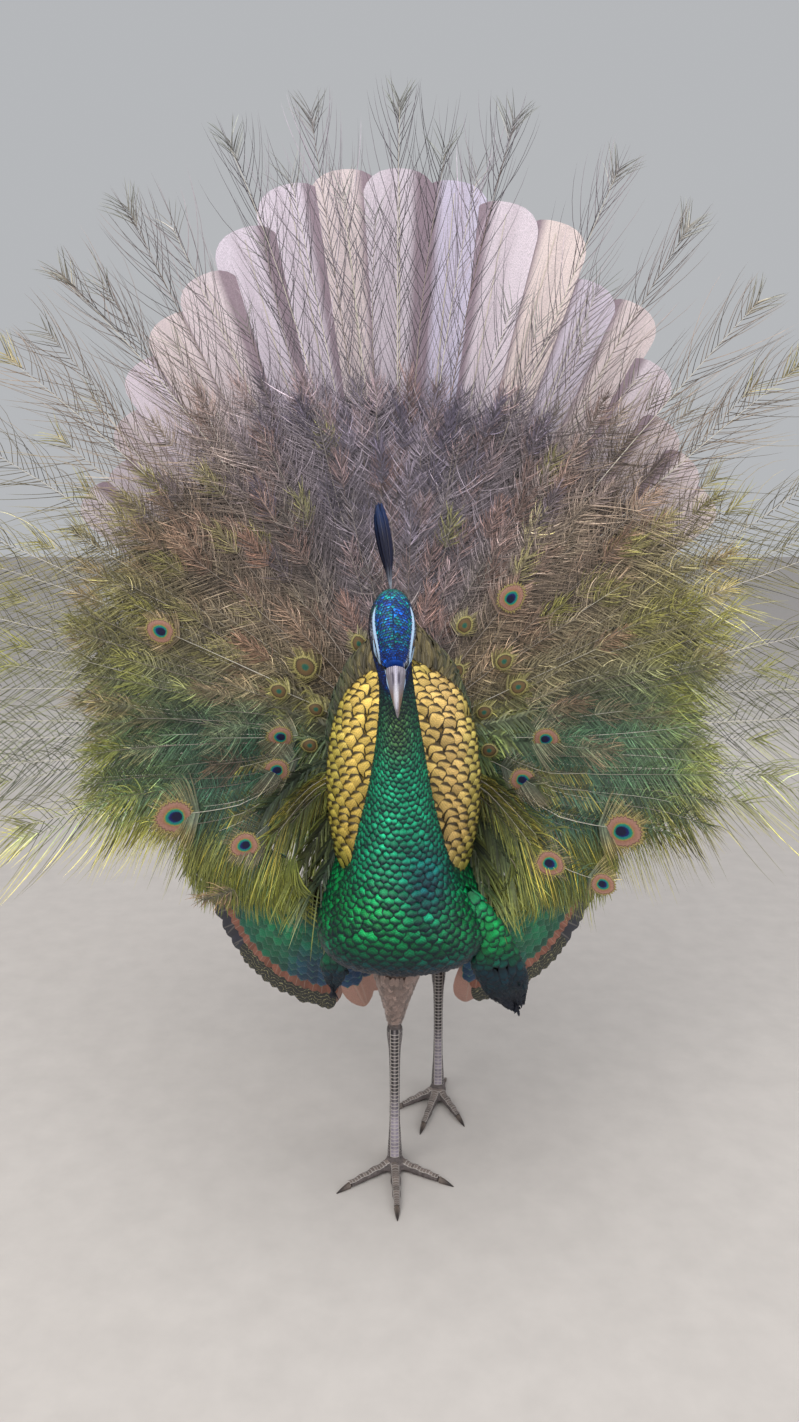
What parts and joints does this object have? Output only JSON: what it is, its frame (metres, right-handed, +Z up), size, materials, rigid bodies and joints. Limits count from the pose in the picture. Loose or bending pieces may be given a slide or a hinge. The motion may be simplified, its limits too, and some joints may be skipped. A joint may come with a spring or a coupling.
{
  "type": "peacock, standing in display",
  "caption": "Life-size standing peacock with its train raised and spread in a fan, wings drooped and one foot forward, as a still museum-type model.",
  "frame": {"origin": "on the floor, at the middle of the bird's bounding box", "axes": "+Z up; the bird faces -Y, so its left side is +X; the train's fan spreads along X and Z"},
  "size_m": [1.3116, 0.4864, 1.3551],
  "materials": {
    "crown_feathers": "small glossy scale-like feathers, blue with teal sheen, satin",
    "green_feathers": "overlapping scale feathers, emerald green with metallic sheen and dark edges",
    "dark_feathers": "short soft feathers, navy and grey-brown, matt",
    "gold_feathers": "rounded overlapping scale feathers, gold-tan with dark edges, satin",
    "covert_feathers": "wing coverts, teal green, satin",
    "flight_feathers": "stiff flight feathers, navy with a rust panel and pale bars, satin",
    "train_feathers": "loose-barbed train feathers with ringed eye-spots, olive to bronze, satin",
    "tail_feathers": "broad stiff tail feathers and down, pale pinkish grey, matt",
    "leg_scales": "scaled leg skin, grey-brown with pale cross-bands, satin",
    "horn": "horn of bill, claws and spurs, grey to pale, half gloss",
    "eye": "dark brown eye with a wet clear surface, gloss"
  },
  "bodies": {
    "root": {"belly": "dark_feathers", "bill_lower": "horn", "bill_upper": "horn", "breast": "green_feathers", "claw_hind_left": "horn", "claw_hind_right": "horn", "claw_inner_left": "horn", "claw_inner_right": "horn", "claw_middle_left": "horn", "claw_middle_right": "horn", "claw_outer_left": "horn", "claw_outer_right": "horn", "crest": "crown_feathers", "eye_left": "eye", "eye_right": "eye", "flank_left": "green_feathers", "flank_right": "green_feathers", "foot_left": "leg_scales", "foot_right": "leg_scales", "head": "crown_feathers", "mantle": "gold_feathers", "neck_lower": "green_feathers", "neck_upper": "green_feathers", "rump": "dark_feathers", "shank_left": "leg_scales", "shank_right": "leg_scales", "spur_left": "horn", "spur_right": "horn", "tail_left": "tail_feathers", "tail_middle": "tail_feathers", "tail_right": "tail_feathers", "thigh_left": "dark_feathers", "thigh_right": "dark_feathers", "train_hem_left": "train_feathers", "train_hem_right": "train_feathers", "train_high_left": "train_feathers", "train_high_right": "train_feathers", "train_low_left": "train_feathers", "train_low_right": "train_feathers", "train_middle": "train_feathers", "train_root": "train_feathers", "train_side_left": "train_feathers", "train_side_right": "train_feathers", "undertail": "tail_feathers", "wing_coverts_left": "covert_feathers", "wing_coverts_right": "covert_feathers", "wing_feathers_left": "flight_feathers", "wing_feathers_right": "flight_feathers"}
  },
  "joints": []
}
